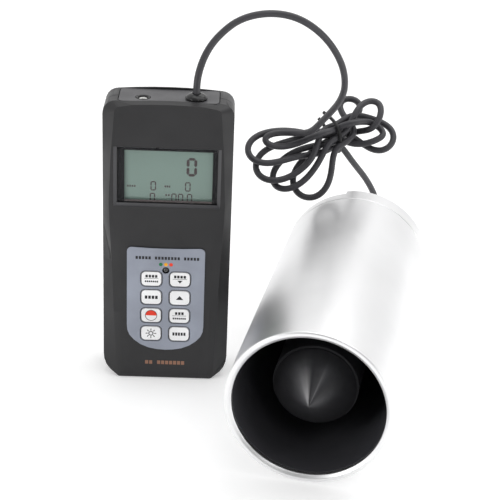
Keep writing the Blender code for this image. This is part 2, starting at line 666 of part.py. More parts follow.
def space_strands(line, apart, rounds, step):
    """Moves crossing strands apart and keeps the line smooth between the held places."""
    held = fixed_mask(line)
    count = len(line)
    order = np.arange(count)
    near_along = np.abs(order[:, None] - order[None, :]) * step < 4.0 * apart
    for turn in range(rounds):
        push = np.zeros_like(line)
        gap = line[:, None, :] - line[None, :, :]
        dist = np.linalg.norm(gap, axis=2) + 1e-9
        close = (dist < apart) & ~near_along
        weight = np.where(close, (apart - dist) / dist, 0.0)
        crowd = np.maximum(1, close.sum(axis=1, keepdims=True))
        push += (gap * weight[:, :, None]).sum(axis=1) / crowd
        middle = np.zeros_like(line)
        middle[1:-1] = (line[:-2] + line[2:]) / 2 - line[1:-1]
        bend = np.zeros_like(line)
        bend[1:-1] = middle[1:-1] - (middle[:-2] + middle[2:]) / 2
        size = np.linalg.norm(push, axis=1, keepdims=True)
        push *= np.minimum(0.9, 0.8 / np.maximum(size, 1e-9))
        curl = np.linalg.norm(middle, axis=1, keepdims=True)
        ease = np.where(curl > step ** 2 / (2 * LEAST_BEND), 0.3 * middle, 0.0)
        settling = turn > 0.6 * rounds
        change = push + 0.12 * bend if settling else push + 0.25 * bend + ease
        line = line + np.where(held[:, None], 0.0, change)
        axis_point = np.array(MOUTH)
        axis_dir = np.array(AXIS)
        rel = line - axis_point
        along = rel @ axis_dir
        radial = rel - np.outer(along, axis_dir)
        radius = np.linalg.norm(radial, axis=1)
        inside = (along < CUP_H + 3.0) & (radius < CUP_R + 3.2) & ~held
        line[inside] = (axis_point + np.outer(along, axis_dir)
                        + radial / radius[:, None] * (CUP_R + 3.2))[inside]
    return line


FINE_STEP = 2.4
fine = through(cable_route(), FINE_STEP)
fine = space_strands(fine, 4.9, 900, FINE_STEP)
cable_line = fine[::2]
if len(fine) % 2 == 0:
    cable_line = np.vstack([cable_line, fine[-1]])


def wire(name, points, radius, slot, resolution=2):
    curve = bpy.data.curves.new(name, "CURVE")
    curve.dimensions = "3D"
    curve.bevel_depth = radius * MM
    curve.bevel_resolution = resolution
    curve.use_fill_caps = True
    line = curve.splines.new("POLY")
    line.points.add(len(points) - 1)
    for point, place in zip(line.points, points):
        point.co = (*(np.array(place) * MM), 1)
    obj = bpy.data.objects.new(name, curve)
    bpy.context.scene.collection.objects.link(obj)
    bpy.context.view_layer.update()
    return smooth(adopt(to_mesh(obj), slot), 60)


wire("signal_cable", cable_line, CABLE_R, "rubber", 2)

# The tie: one turn of covered wire round the waist, its ends twisted away up and left.
TIE_R = 0.8
TIE_CLEAR = CABLE_R + TIE_R + 0.35
START = 118.0
offsets = fine - np.array(HANK_CENTRE)
TIED = [p for p in offsets if abs(p.dot(BUNDLE)) < 4.2 and np.linalg.norm(p) < 13.0]
TIED = [p - p.dot(BUNDLE) * BUNDLE for p in TIED]


def tie_point(angle, grow=0.0, along=0.0):
    """A point on the line that hugs the tied strands, seen along the waist."""
    normal = BUNDLE_UP * sin(radians(angle)) - BUNDLE_REAR * cos(radians(angle))
    outermost = max(TIED, key=lambda place: place.dot(normal))
    return np.array(HANK_CENTRE) + outermost + normal * (TIE_CLEAR + grow) + BUNDLE * along


tie_line = [tie_point(START - 6, 6.0, -5.5), tie_point(START - 3, 3.6, -3.4), tie_point(START, 1.4, -1.6)]
tie_line += [tie_point(START + 330 * k / 36, 0.0, -1.0 + 2.0 * k / 36) for k in range(37)]
tie_line += [tie_point(START - 26, 1.6, 0.4), tie_point(START - 24, 3.8, -1.4), tie_point(START - 26, 6.4, -3.4)]
wire("hank_tie", tie_line, TIE_R, "rubber", 1)
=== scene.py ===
"""Looks for the handheld grain moisture meter, its coiled cable and its sensor cup.

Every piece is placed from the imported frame. Lengths of pieces are written in millimetres and
go through MM; the floor, the lights and the camera are in metres.
"""

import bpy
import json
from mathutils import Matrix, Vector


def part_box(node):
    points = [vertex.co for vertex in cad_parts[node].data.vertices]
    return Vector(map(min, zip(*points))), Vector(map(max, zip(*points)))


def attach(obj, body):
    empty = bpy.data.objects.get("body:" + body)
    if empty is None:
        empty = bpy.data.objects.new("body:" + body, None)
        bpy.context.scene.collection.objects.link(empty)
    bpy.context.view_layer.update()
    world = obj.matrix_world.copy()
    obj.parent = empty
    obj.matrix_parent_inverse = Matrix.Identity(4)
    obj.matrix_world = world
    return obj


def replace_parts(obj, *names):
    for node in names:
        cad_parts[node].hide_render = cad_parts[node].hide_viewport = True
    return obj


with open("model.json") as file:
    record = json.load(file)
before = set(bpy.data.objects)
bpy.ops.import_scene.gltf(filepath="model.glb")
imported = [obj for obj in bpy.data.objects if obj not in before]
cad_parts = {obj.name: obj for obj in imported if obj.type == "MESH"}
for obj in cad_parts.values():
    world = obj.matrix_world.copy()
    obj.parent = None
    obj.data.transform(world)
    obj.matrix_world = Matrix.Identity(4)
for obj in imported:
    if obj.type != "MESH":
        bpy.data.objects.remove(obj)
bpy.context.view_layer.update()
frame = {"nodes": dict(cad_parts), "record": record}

import json
from math import cos, pi, radians, sin

import bmesh
import bpy
import numpy as np
from mathutils import Matrix, Vector

MM = 0.001
WELD = 2e-6              # vertices closer than this, in metres, are one
ROOT = "instrument"
NODES = frame["nodes"]


# ------------------------------------------------------------------ node material kit
class Look:
    """A material under construction: a Principled shader and helpers that add nodes."""

    def __init__(self, name, colour, rough, metal=0.0, coat=0.0, spec=0.5):
        self.mat = bpy.data.materials.new(name)
        self.mat.use_nodes = True
        self.tree = self.mat.node_tree
        self.shader = self.tree.nodes["Principled BSDF"]
        self.shader.inputs["Base Color"].default_value = (*colour, 1)
        self.shader.inputs["Roughness"].default_value = rough
        self.shader.inputs["Metallic"].default_value = metal
        self.shader.inputs["Coat Weight"].default_value = coat
        self.shader.inputs["Specular IOR Level"].default_value = spec
        self.coords = self.tree.nodes.new("ShaderNodeTexCoord")
        self.colour = colour
        self.rough = rough
        self.height = None

    def add(self, kind, **values):
        node = self.tree.nodes.new(kind)
        for key, value in values.items():
            if key in node.inputs:
                node.inputs[key].default_value = value
            else:
                setattr(node, key, value)
        return node

    def link(self, a, b):
        self.tree.links.new(a, b)

    def noise(self, scale, detail=3.0, stretch=None):
        """Noise in object space; scale is in features a metre."""
        node = self.add("ShaderNodeTexNoise", Scale=scale, Detail=detail)
        source = self.coords.outputs["Object"]
        if stretch:
            mapping = self.add("ShaderNodeMapping")
            mapping.inputs["Scale"].default_value = stretch
            self.link(source, mapping.inputs["Vector"])
            source = mapping.outputs["Vector"]
        self.link(source, node.inputs["Vector"])
        return node.outputs["Fac"]

    def ramp(self, source, stops):
        node = self.add("ShaderNodeValToRGB")
        band = node.color_ramp
        while len(band.elements) > 1:
            band.elements.remove(band.elements[-1])
        for i, (place, shade) in enumerate(stops):
            stop = band.elements[0] if i == 0 else band.elements.new(place)
            stop.position = place
            value = (shade, shade, shade) if isinstance(shade, (int, float)) else shade
            stop.color = (*value, 1)
        self.link(source, node.inputs["Fac"])
        return node.outputs["Color"]

    def vary_colour(self, source, dark=0.85, light=1.12, low=0.35, high=0.65):
        shades = [tuple(c * k for c in self.colour) for k in (dark, light)]
        band = self.ramp(source, [(low, shades[0]), (high, shades[1])])
        self.link(band, self.shader.inputs["Base Color"])
        return self

    def vary_rough(self, source, spread=0.08, low=0.3, high=0.7):
        ends = [max(0.02, self.rough - spread), min(1.0, self.rough + spread)]
        band = self.ramp(source, [(low, ends[0]), (high, ends[1])])
        self.link(band, self.shader.inputs["Roughness"])
        return self

    def bump(self, source, strength, depth):
        node = self.add("ShaderNodeBump", Strength=strength, Distance=depth)
        self.link(source, node.inputs["Height"])
        if self.height:
            self.link(self.height, node.inputs["Normal"])
        self.height = node.outputs["Normal"]
        self.link(self.height, self.shader.inputs["Normal"])
        return self


def textured_plastic(name, colour, rough, grain=2600.0, bump=0.25, spec=0.4):
    """Moulded or printed plastic: slow mottling, uneven sheen and a fine grain."""
    look = Look(name, colour, rough, spec=spec)
    look.vary_colour(look.noise(35, 4), 0.9, 1.12)
    look.vary_rough(look.noise(90, 4), 0.07)
    look.bump(look.noise(grain, 2), bump, 0.00012)
    return look


CASE = textured_plastic("case_plastic", (0.0125, 0.0122, 0.0135), 0.42, spec=0.45)
CASE_BACK = textured_plastic("case_back_plastic", (0.016, 0.016, 0.017), 0.44, spec=0.5)
END_PANEL = textured_plastic("end_panel_plastic", (0.062, 0.061, 0.066), 0.42, spec=0.55)
BEZEL = textured_plastic("bezel_print", (0.015, 0.015, 0.017), 0.45, bump=0.03, spec=0.15)
# The recess's sloping sides: glossier, and painted lighter as a painted highlight where light catches
# them.
RECESS_GLOSS_AND_HIGHLIGHT = textured_plastic("recess_ledge_gloss_and_highlight", (0.05, 0.05, 0.055), 0.34, bump=0.05, spec=0.6)
# A brownish strip along the display's lower edge: a painted reflection of that edge.
DISPLAY_EDGE_REFLECTION = textured_plastic("display_lower_band_reflection", (0.1, 0.085, 0.085), 0.45, bump=0.03)
INSERT = textured_plastic("jack_insert_white", (0.75, 0.75, 0.73), 0.45, bump=0.03)
# Dark ring round each key: painted shade of the gap between key and label.
KEY_GAP_SHADE = textured_plastic("key_gap_shade", (0.05, 0.052, 0.062), 0.5, bump=0.03)
RUBBER = textured_plastic("cable_rubber", (0.042, 0.041, 0.047), 0.44, grain=1800, bump=0.12, spec=0.5)
TIE = textured_plastic("tie_rubber", (0.014, 0.014, 0.015), 0.4, grain=2500, bump=0.1)
JACK = textured_plastic("jack_plastic", (0.02, 0.02, 0.021), 0.35, bump=0.05)
ELASTOMER = textured_plastic("elastomer", (0.45, 0.45, 0.47), 0.6, bump=0.1)
LIGHT_GUIDE = textured_plastic("light_guide", (0.8, 0.82, 0.8), 0.3, bump=0.02)
LABEL = textured_plastic("label_film", (0.31, 0.335, 0.4), 0.42, grain=3200, bump=0.06)
KEY = textured_plastic("key_film", (0.97, 0.97, 0.975), 0.4, grain=3000, bump=0.04)
INK = textured_plastic("ink_black", (0.012, 0.012, 0.015), 0.5, bump=0.02)
INK_RED = textured_plastic("ink_red", (0.9, 0.045, 0.015), 0.5, bump=0.02)
INK_GREEN = textured_plastic("ink_green", (0.005, 0.19, 0.06), 0.5, bump=0.02)
INK_AMBER = textured_plastic("ink_amber", (0.98, 0.42, 0.008), 0.5, bump=0.02)
INK_COPPER = textured_plastic("ink_copper", (0.26, 0.13, 0.08), 0.5, bump=0.02)
LED_LENS = Look("led_lens", (0.09, 0.09, 0.09), 0.2, coat=0.4)
LED_LENS.vary_rough(LED_LENS.noise(500, 3), 0.08)
SEGMENT = textured_plastic("segment_ink", (0.075, 0.056, 0.06), 0.35, bump=0.0)
CORE = textured_plastic("core_black", (0.052, 0.052, 0.056), 0.4, grain=900, bump=0.04)
LINER = textured_plastic("liner_black", (0.046, 0.046, 0.052), 0.44, grain=700, bump=0.05)


def board_look():
    """Green circuit board with a lighter grid of tracks."""
    look = Look("board_green", (0.02, 0.12, 0.05), 0.4, coat=0.2)
    tracks = look.add("ShaderNodeTexBrick", Scale=260.0)
    tracks.inputs["Mortar Size"].default_value = 0.03
    look.link(look.coords.outputs["Object"], tracks.inputs["Vector"])
    shades = look.ramp(tracks.outputs["Fac"], [(0.0, look.colour), (1.0, (0.03, 0.19, 0.08))])
    look.link(shades, look.shader.inputs["Base Color"])
    return look


def metal_look(name, colour, rough, stretch=(1, 1, 1), scale=400, spread=0.06, bump=0.02):
    look = Look(name, colour, rough, metal=1.0)
    look.vary_rough(look.noise(scale, 5, stretch), spread)
    look.vary_colour(look.noise(14, 3), 0.95, 1.04)
    look.bump(look.noise(scale * 2, 3, stretch), bump, 0.0001)
    return look


BOARD = board_look()
SCREW = metal_look("screw_zinc", (0.3, 0.3, 0.31), 0.35)
PLATED = metal_look("plated_strip", (0.7, 0.69, 0.66), 0.28)
CELL = metal_look("cell_sleeve", (0.25, 0.3, 0.35), 0.35)
CUP = metal_look("cup_satin", (0.89, 0.89, 0.895), 0.38, stretch=(1, 1, 12), scale=120,
                 spread=0.04)


# Painted highlight of the lathe lines round the cone, standing in for the light they catch: degrees
# anticlockwise from the right, and its strength.
CONE_PAINTED_HIGHLIGHT = [
    (0, 0.03), (22, 0.1), (38, 0.16), (56, 0.02), (63, 0.05), (69, 0.34), (72, 0.12), (84, 0.1),
    (92, 0.0), (95, 0.12), (100, 0.62), (107, 1.0), (114, 0.62), (130, 0.22), (155, 0.05), (200, 0.0),
]
# How that painted highlight grows from the cone's foot (0) to its tip (1).
CONE_HIGHLIGHT_FADE = [(0.0, 0.0), (0.3, 0.12), (0.6, 0.6), (0.85, 1.0), (1.0, 0.5)]
# Colour of the painted highlight at full strength.
CONE_HIGHLIGHT_COLOUR = (0.34, 0.335, 0.34)


def cone_look(up_angle, tip_z, foot_z):
    """Turned black cone with highlights painted into its colour: streaks towards the tip, where its
    lathe lines would catch the light.

    up_angle is where world up points round the cone's own axis; tip_z and foot_z are its two ends
    along that axis.
    """
    look = Look("cone_turned_painted_highlight", (0.036, 0.036, 0.04), 0.38, metal=0.6)
    turned = look.add("ShaderNodeMapping")
    turned.inputs["Rotation"].default_value = (0, 0, -up_angle)
    look.link(look.coords.outputs["Object"], turned.inputs["Vector"])
    round_axis = look.add("ShaderNodeTexGradient", gradient_type="RADIAL")
    look.link(turned.outputs["Vector"], round_axis.inputs["Vector"])
    # Painted highlight: a ramp of strengths round the cone's axis.
    sheen = look.ramp(round_axis.outputs["Fac"], [((a - 90) / 360 + 0.5, k) for a, k in CONE_PAINTED_HIGHLIGHT])
    split = look.add("ShaderNodeSeparateXYZ")
    look.link(look.coords.outputs["Object"], split.inputs[0])
    height = look.add("ShaderNodeMapRange")
    for key, value in (("From Min", foot_z), ("From Max", tip_z)):
        height.inputs[key].default_value = value
    look.link(split.outputs["Z"], height.inputs["Value"])
    fade = look.ramp(height.outputs["Result"], CONE_HIGHLIGHT_FADE)
    both = look.add("ShaderNodeMath", operation="MULTIPLY")
    look.link(sheen, both.inputs[0])
    look.link(fade, both.inputs[1])
    grain = look.add("ShaderNodeMath", operation="MULTIPLY_ADD")
    look.link(look.noise(300, 4), grain.inputs[0])
    grain.inputs[1].default_value = 0.06
    look.link(both.outputs[0], grain.inputs[2])
    # The painted highlight lightens the base colour towards its bright end.
    look.link(look.ramp(grain.outputs[0], [(0.02, look.colour), (1.0, CONE_HIGHLIGHT_COLOUR)]),
              look.shader.inputs["Base Color"])
    look.vary_rough(look.noise(40, 2), 0.04)
    return look


def display_look():
    """Reflective display: an even grey-green."""
    look = Look("display_face", (0.225, 0.315, 0.278), 0.35)
    look.vary_colour(look.noise(20, 3), 0.96, 1.05)
    look.vary_rough(look.noise(200, 3), 0.05)
    return look


def window_look():
    """Clear pane: nearly all light passes, a little is reflected."""
    look = Look("window_clear", (0.06, 0.065, 0.065), 0.06)
    clear = look.add("ShaderNodeBsdfTransparent")
    mix = look.add("ShaderNodeMixShader")
    mix.inputs[0].default_value = 0.035
    out = next(n for n in look.tree.nodes if n.type == "OUTPUT_MATERIAL")
    look.link(clear.outputs[0], mix.inputs[1])
    look.link(look.shader.outputs[0], mix.inputs[2])
    look.link(mix.outputs[0], out.inputs["Surface"])
    look.vary_rough(look.noise(60, 3), 0.03)
    return look


GLOSS_RUBBER = textured_plastic("grommet_gloss", (0.012, 0.012, 0.013), 0.22, bump=0.03)
DISPLAY = display_look()
WINDOW = window_look()

FINISH = {
    "front_cover": CASE, "rear_cover": CASE_BACK, "battery_door": CASE_BACK, "top_end_panel": END_PANEL,
    "display_window": WINDOW, "lcd_glass": DISPLAY, "lcd_backlight": LIGHT_GUIDE,
    "zebra_connector": ELASTOMER, "main_circuit_board": BOARD, "keypad_board": BOARD,
    "key_dome_sheet": ELASTOMER, "keypad_label": LABEL, "status_led": LED_LENS, "data_jack": JACK,
    "cable_grommet": RUBBER, "battery_contact_lower": PLATED, "battery_contact_upper": PLATED,
    "cup_tube": CUP, "cup_liner": LINER, "cup_floor": LINER, "core_electrode": CORE, "core_cone": CORE,
    "core_bolt": SCREW, "base_cap": CUP, "base_cover_plate": CUP, "sensor_board": BOARD,
    "cup_cable_gland": RUBBER, "signal_cable": RUBBER, "hank_tie": TIE,
}
# The rest by the start of their names: keys, battery cells, and all the screws.
BY_PREFIX = (("key_", KEY), ("battery_cell", CELL), ("", SCREW))
for name, node in NODES.items():
    look = FINISH.get(name) or next(k for start, k in BY_PREFIX if name.startswith(start))
    node.data.materials.clear()
    node.data.materials.append(look.mat)

SLOTS = {row["node"]: row["material_slot"] for row in frame["record"]["subparts"]}
BODY_OF = {}
for body, members in frame["record"]["behaviour"]["bodies"].items():
    for member in members:
        BODY_OF[member] = body


# ------------------------------------------------------------------ piece helpers
def place(obj, body=ROOT, slot=None):
    if not obj.users_collection:
        bpy.context.scene.collection.objects.link(obj)
    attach(obj, body)
    return obj


def dress(obj, look):
    obj.data.materials.clear()
    obj.data.materials.append(look.mat)
    return obj


def smooth(obj, angle=30):
    obj.data.shade_smooth()
    obj.data.set_sharp_from_angle(angle=radians(angle))
    return obj


def refined(node, look, bevel=0.0, angle=28, crease=None):
    """A copy of a CAD node with welded, smoothed faces and small rounded edges.

    crease tells which gentle edges stay sharp, from the two ends of an edge.
    """
    source = NODES[node]
    work = bmesh.new()
    work.from_mesh(source.data)
    bmesh.ops.remove_doubles(work, verts=work.verts, dist=WELD)
    bmesh.ops.dissolve_limit(work, angle_limit=radians(0.6), verts=work.verts, edges=work.edges)
    mesh = bpy.data.meshes.new(node + "_fine")
    work.to_mesh(mesh)
    work.free()
    obj = bpy.data.objects.new(node + "_fine", mesh)
    bpy.context.scene.collection.objects.link(obj)
    dress(smooth(obj, angle), look)
    if crease:
        for edge in mesh.edges:
            if crease(*(mesh.vertices[i].co / MM for i in edge.vertices)):
                edge.use_edge_sharp = True
    if bevel:
        mod = obj.modifiers.new("soft_edges", "BEVEL")
        mod.width = bevel * MM
        mod.segments = 3
        mod.limit_method = "ANGLE"
        mod.angle_limit = radians(angle)
        mod.harden_normals = True
        mod.use_clamp_overlap = True
    place(obj, BODY_OF[node], SLOTS[node])
    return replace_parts(obj, node)


def rounded_profile(points, radius, closed):
    """Replaces each sharp corner of an outline with a short curve of four spans."""
    count = len(points)
    out = []
    for i, here in enumerate(points):
        if not closed and i in (0, count - 1):
            out.append(here)
            continue
        back, ahead = points[i - 1] - here, points[(i + 1) % count] - here
        turn = pi - back.angle(ahead)
        if turn < radians(15) or here.x < WELD:
            out.append(here)
            continue
        reach = min(radius, 0.42 * back.length, 0.42 * ahead.length)
        first, last = here + back.normalized() * reach, here + ahead.normalized() * reach
        for k in range(5):
            t = k / 4
            out.append(first * (1 - t) ** 2 + here * 2 * t * (1 - t) + last * t * t)
    return out


def section_of(mesh, to_axis):
    """One radial section of a turned mesh: its (radius, height) points in order, and if it is a loop.

    to_axis takes the mesh's points into a frame whose Z is the turning axis.
    """
    work = bmesh.new()
    work.from_mesh(mesh)
    bmesh.ops.remove_doubles(work, verts=work.verts, dist=WELD)
    work.transform(to_axis)
    widest = max(work.verts, key=lambda v: (round(v.co.xy.length, 7), v.co.x))
    facing = widest.co.xy.normalized()

    def on_axis(v):
        return v.co.xy.length < WELD

    kept = [v for v in work.verts if on_axis(v) or (v.co.xy.normalized() - facing).length < 0.01]
    links = {v: [e.other_vert(v) for e in v.link_edges if e.other_vert(v) in kept] for v in kept}
    ends = [v for v in kept if on_axis(v)]
    for v in ends:
        links[v] = [w for w in links[v] if not on_axis(w)]
        for w in links[v]:
            links[w] = [x for x in links[w] if x is not v] + [v]
    line = [ends[0] if ends else widest]
    while True:
        here = line[-1]
        ahead = [w for w in links[here] if w not in line]
        if not ahead:
            break
        line.append(min(ahead, key=lambda w: (w.co - here.co).length))
    points = [Vector((v.co.xy.length, v.co.z)) for v in line]
    work.free()
    return points, not ends


def turned_mesh(name, outline, closed, steps):
    """Turns (radius, height) points round Z into a closed mesh."""
    made = bmesh.new()
    rings = []
    for r, z in outline:
        if r < WELD:
            rings.append([made.verts.new((0, 0, z))] * steps)
            continue
        angles = [2 * pi * k / steps for k in range(steps)]
        rings.append([made.verts.new((r * cos(a), r * sin(a), z)) for a in angles])
    pairs = list(zip(rings, rings[1:]))
    if closed:
        pairs.append((rings[-1], rings[0]))
    for one, two in pairs:
        for k in range(steps):
            after = (k + 1) % steps
            corners = list(dict.fromkeys((one[k], one[after], two[after], two[k])))
            if len(corners) > 2:
                made.faces.new(corners)
    bmesh.ops.recalc_face_normals(made, faces=made.faces)
    mesh = bpy.data.meshes.new(name)
    made.to_mesh(mesh)
    made.free()
    return mesh


def relathe(node, foot, axis, look, steps=160, soften_mm=0.3):
    """A turned CAD node made again round its axis, with more steps and rounded corners."""
    frame_of = Matrix.Translation(foot) @ axis.to_track_quat("Z", "Y").to_matrix().to_4x4()
    points, closed = section_of(NODES[node].data, frame_of.inverted())
    outline = rounded_profile(points, soften_mm * MM, closed)
    mesh = turned_mesh(node + "_turned", outline, closed, steps)
    obj = bpy.data.objects.new(mesh.name, mesh)
    obj.matrix_world = frame_of
    dress(smooth(obj, 38), look)
    place(obj, BODY_OF[node], SLOTS[node])
    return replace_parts(obj, node)


def flat(name, outline, y, look, thick=0.035, body=ROOT, slot="label"):
    """A thin printed shape facing -Y: outline is (x, z) in mm, y its back, thick in mm."""
    work = bmesh.new()
    front = [work.verts.new((x * MM, (y - thick) * MM, z * MM)) for x, z in outline]
    back = [work.verts.new((x * MM, y * MM, z * MM)) for x, z in outline]
    work.faces.new(front)
    work.faces.new(back[::-1])
    for i in range(len(outline)):
        j = (i + 1) % len(outline)
        work.faces.new((front[i], back[i], back[j], front[j]))
    bmesh.ops.recalc_face_normals(work, faces=work.faces)
    mesh = bpy.data.meshes.new(name)
    work.to_mesh(mesh)
    work.free()
    obj = bpy.data.objects.new(name, mesh)
    dress(obj, look)
    return place(obj, body, slot)


def join(objs, name):
    """One object from several that share a body."""
    bpy.ops.object.select_all(action="DESELECT")
    for obj in objs:
        obj.select_set(True)
    bpy.context.view_layer.objects.active = objs[0]
    bpy.ops.object.join()
    objs[0].name = name
    objs[0].data.name = name
    return objs[0]


def arc(cx, cz, r, start, end, steps):
    angles = [radians(start + (end - start) * k / steps) for k in range(steps + 1)]
    return [(cx + r * cos(a), cz + r * sin(a)) for a in angles]


def disc(cx, cz, r):
    return arc(cx, cz, r, 0, 360, 28)[:-1]


def bar(cx, cz, w, h):
    left, right, low, high = cx - w / 2, cx + w / 2, cz - h / 2, cz + h / 2
    return [(left, low), (right, low), (right, high), (left, high)]


def bar_between(left, right, low, high):
    return bar((left + right) / 2, (low + high) / 2, right - left, high - low)


def half_ring(x, z, w, h, r, side):
    """The right (1) or left (-1) half of a rounded rectangle's outline, centred at (x, z)."""
    dx, dz = w / 2 - r, h / 2 - r
    points = [(0, -h / 2)] + arc(dx, -dz, r, -90, 0, 6) + arc(dx, dz, r, 0, 90, 6) + [(0, h / 2)]
    return [(x + side * p, z + q) for p, q in points]


def box_mm(node):
    return [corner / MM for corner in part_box(node)]


def middle(node):
    low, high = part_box(node)
    return (low + high) / 2


# ------------------------------------------------------------------ meter case
UPRIGHT = Vector((0, 0, 1))
FORWARDS = Vector((0, -1, 0))
FACE_FRONT = box_mm("front_cover")[0].y
CREASE_X = 24.0
CREASE_TOP = 93.0
# The sloping sides of the display recess: half width, lowest and highest z, nearest and furthest y.
RECESS_HALF, RECESS_LOW, RECESS_HIGH = 28.1, 102.3, 135.8
RECESS_NEAR, RECESS_FAR = -14.95, -13.0


def on_crease(a, b):
    """Whether an edge lies on one of the two upright creases of the lower front."""
    return all(abs(abs(p.x) - CREASE_X) < 0.15 and p.z < CREASE_TOP and p.y < FACE_FRONT + 0.5
               for p in (a, b))


def front_cover():
    """The front shell; the recess round the display is glossier and painted lighter, a painted
    highlight on its sloping sides.
    """
    front = refined("front_cover", CASE, bevel=0.22, crease=on_crease)
    front.data.materials.append(RECESS_GLOSS_AND_HIGHLIGHT.mat)
    # Faces of the recess's sloping sides get the glossier, lighter look with its painted highlight.
    for face in front.data.polygons:
        spot = face.center / MM
        if (abs(spot.x) < RECESS_HALF and RECESS_LOW < spot.z < RECESS_HIGH
                and RECESS_NEAR < spot.y < RECESS_FAR):
            face.material_index = 1


def jack_insert():
    """White insert at the bottom of the jack's bore."""
    centre = middle("data_jack")
    top = box_mm("data_jack")[1].z
    bpy.ops.mesh.primitive_torus_add(
        major_radius=1.75 * MM, minor_radius=0.75 * MM, major_segments=48, minor_segments=16,
        location=(centre.x, centre.y, (top - 1.5) * MM))
    insert = bpy.context.object
    insert.name = "jack_insert"
    insert.data.name = "jack_insert"
    dress(smooth(insert, 60), INSERT)
    place(insert, ROOT, "jack")


def led():
    """The lamp's lens with the dark die that shows in its middle."""
    centre = middle("status_led")
    relathe("status_led", Vector((centre.x, 0, centre.z)), FORWARDS, LED_LENS, 48, 0.2)
    flat("status_led_die", disc(centre.x / MM, centre.z / MM, 0.5), box_mm("status_led")[0].y + 0.01,
         INK, 0.03, slot="led")


def upright_piece(node, look, soften_mm):
    centre = middle(node)
    relathe(node, Vector((centre.x, centre.y, 0)), UPRIGHT, look, 64, soften_mm)


front_cover()
refined("rear_cover", CASE_BACK, bevel=0.5)
refined("battery_door", CASE_BACK, bevel=0.35)
refined("top_end_panel", END_PANEL, bevel=0.3)
upright_piece("cable_grommet", GLOSS_RUBBER, 0.3)
upright_piece("data_jack", JACK, 0.15)
led()
refined("keypad_label", LABEL)
refined("base_cap", CUP, bevel=0.2, angle=24)
refined("base_cover_plate", CUP, bevel=0.15, angle=24)
jack_insert()

# ------------------------------------------------------------------ sensor cup
BASE_MOUNT = next(m for m in frame["record"]["mounts"] if m["name"] == "cup_base_face")
CUP_AXIS = -Vector(BASE_MOUNT["axis"]).normalized()
CONE_H = 21.1


def foot_of_cup():
    """The point of the cup's axis that is level with its base mount."""
    centre = middle("cup_tube")
    return centre + CUP_AXIS * (Vector(BASE_MOUNT["pos_m"]) - centre).dot(CUP_AXIS)


def sensor_cup():
    foot = foot_of_cup()
    relathe("cup_tube", foot, CUP_AXIS, CUP, 224, 0.35)
    relathe("cup_liner", foot, CUP_AXIS, LINER)
    relathe("cup_floor", foot, CUP_AXIS, LINER)
    relathe("core_electrode", foot, CUP_AXIS, CORE, soften_mm=0.04)
    to_cup = CUP_AXIS.to_track_quat("Z", "Y").to_matrix().transposed()
    up_angle = (to_cup @ UPRIGHT).xy.angle_signed(Vector((1, 0)))
    tip_z = max((to_cup @ (v.co - foot)).z for v in NODES["core_cone"].data.vertices)
    # The cone's colour carries painted highlights, turned to sit towards world up.
    cone = cone_look(up_angle, tip_z, tip_z - CONE_H * MM)
    relathe("core_cone", foot, CUP_AXIS, cone, 192, 0.04)


sensor_cup()

# ------------------------------------------------------------------ display
GLASS_Y = box_mm("lcd_glass")[0].y - 0.02


def segment(x, z, length, thick, upright):
    """One display segment: a bar with pointed ends, (x, z) its centre."""
    a = length / 2
    t = thick / 2
    points = [(-a, 0), (-a + t, -t), (a - t, -t), (a, 0), (a - t, t), (-a + t, t)]
    if upright:
        points = [(-q, p) for p, q in points]
    return [(x + p, z + q) for p, q in points]


def nought(name, x, z, w, h, thick, low_cut=None):
    """A seven-segment nought, middle segment off, centred at (x, z). None below low_cut is shown."""
    gap = thick * 0.16
    upright_length = h / 2 - thick / 2 - gap
    shapes = []
    for side in (-1, 1):
        for part in (-1, 1):
            shapes.append(segment(x + side * (w - thick) / 2, z + part * (h / 4 - thick / 4),
                                  upright_length, thick, True))
    for end in (-1, 1):
        shapes.append(segment(x, z + end * (h - thick) / 2, w - thick - gap, thick, False))
    shown = [s for s in shapes if low_cut is None or min(q for _, q in s) > low_cut]
    return [flat("%s_%d" % (name, i), s, GLASS_Y, SEGMENT, 0.03, slot="lcd")
            for i, s in enumerate(shown)]


def display_digits():
    """One large nought, a row of small ones, and a lower row that the window's edge cuts off."""
    marks = nought("digit_main", 12.6, 124.0, 5.5, 10.4, 1.5)
    for i, x in enumerate((-7.4, 10.7)):
        marks += nought("digit_small_%d" % i, x, 112.9, 3.0, 5.3, 0.66)
    for i, x in enumerate((-7.8, 3.5, 7.0, 11.7)):
        marks += nought("digit_low_%d" % i, x, 106.3, 2.9, 5.3, 0.66, low_cut=102.0)
    # Small blocks where units would stand: (first x, z, pitch, count).
    for x, z, pitch, count in ((-20.7, 112.5, 1.2, 4), (-1.1, 112.8, 1.1, 3), (-0.6, 107.9, 1.4, 2)):
        for k in range(count):
            block = bar(x + pitch * k, z, 0.75, 1.15)
            marks.append(flat("digit_unit_%d" % k, block, GLASS_Y, SEGMENT, 0.03, slot="lcd"))
    join(marks, "display_digits")


def window_print():
    """Black print behind the window, clear over the display; a brownish band along its lower edge is a
    painted reflection of the display's lower edge.
    """
    low, high = box_mm("display_window")
    y = high.y + 0.12
    clear_left, clear_right, clear_low, clear_high = -22.5, 23.6, 105.5, 133.0
    bars = [
        bar_between(low.x, clear_left, low.z, high.z),
        bar_between(clear_right, high.x, low.z, high.z),
        bar_between(clear_left, clear_right, clear_high, high.z),
    ]
    join([flat("mask_%d" % i, shape, y, BEZEL, 0.05, slot="case") for i, shape in enumerate(bars)],
         "display_mask")
    # Painted reflection of the display's lower edge.
    flat("display_lower_band_reflection", bar_between(clear_left, clear_right, low.z, clear_low), y, DISPLAY_EDGE_REFLECTION, 0.05,
         slot="case")


display_digits()
window_print()


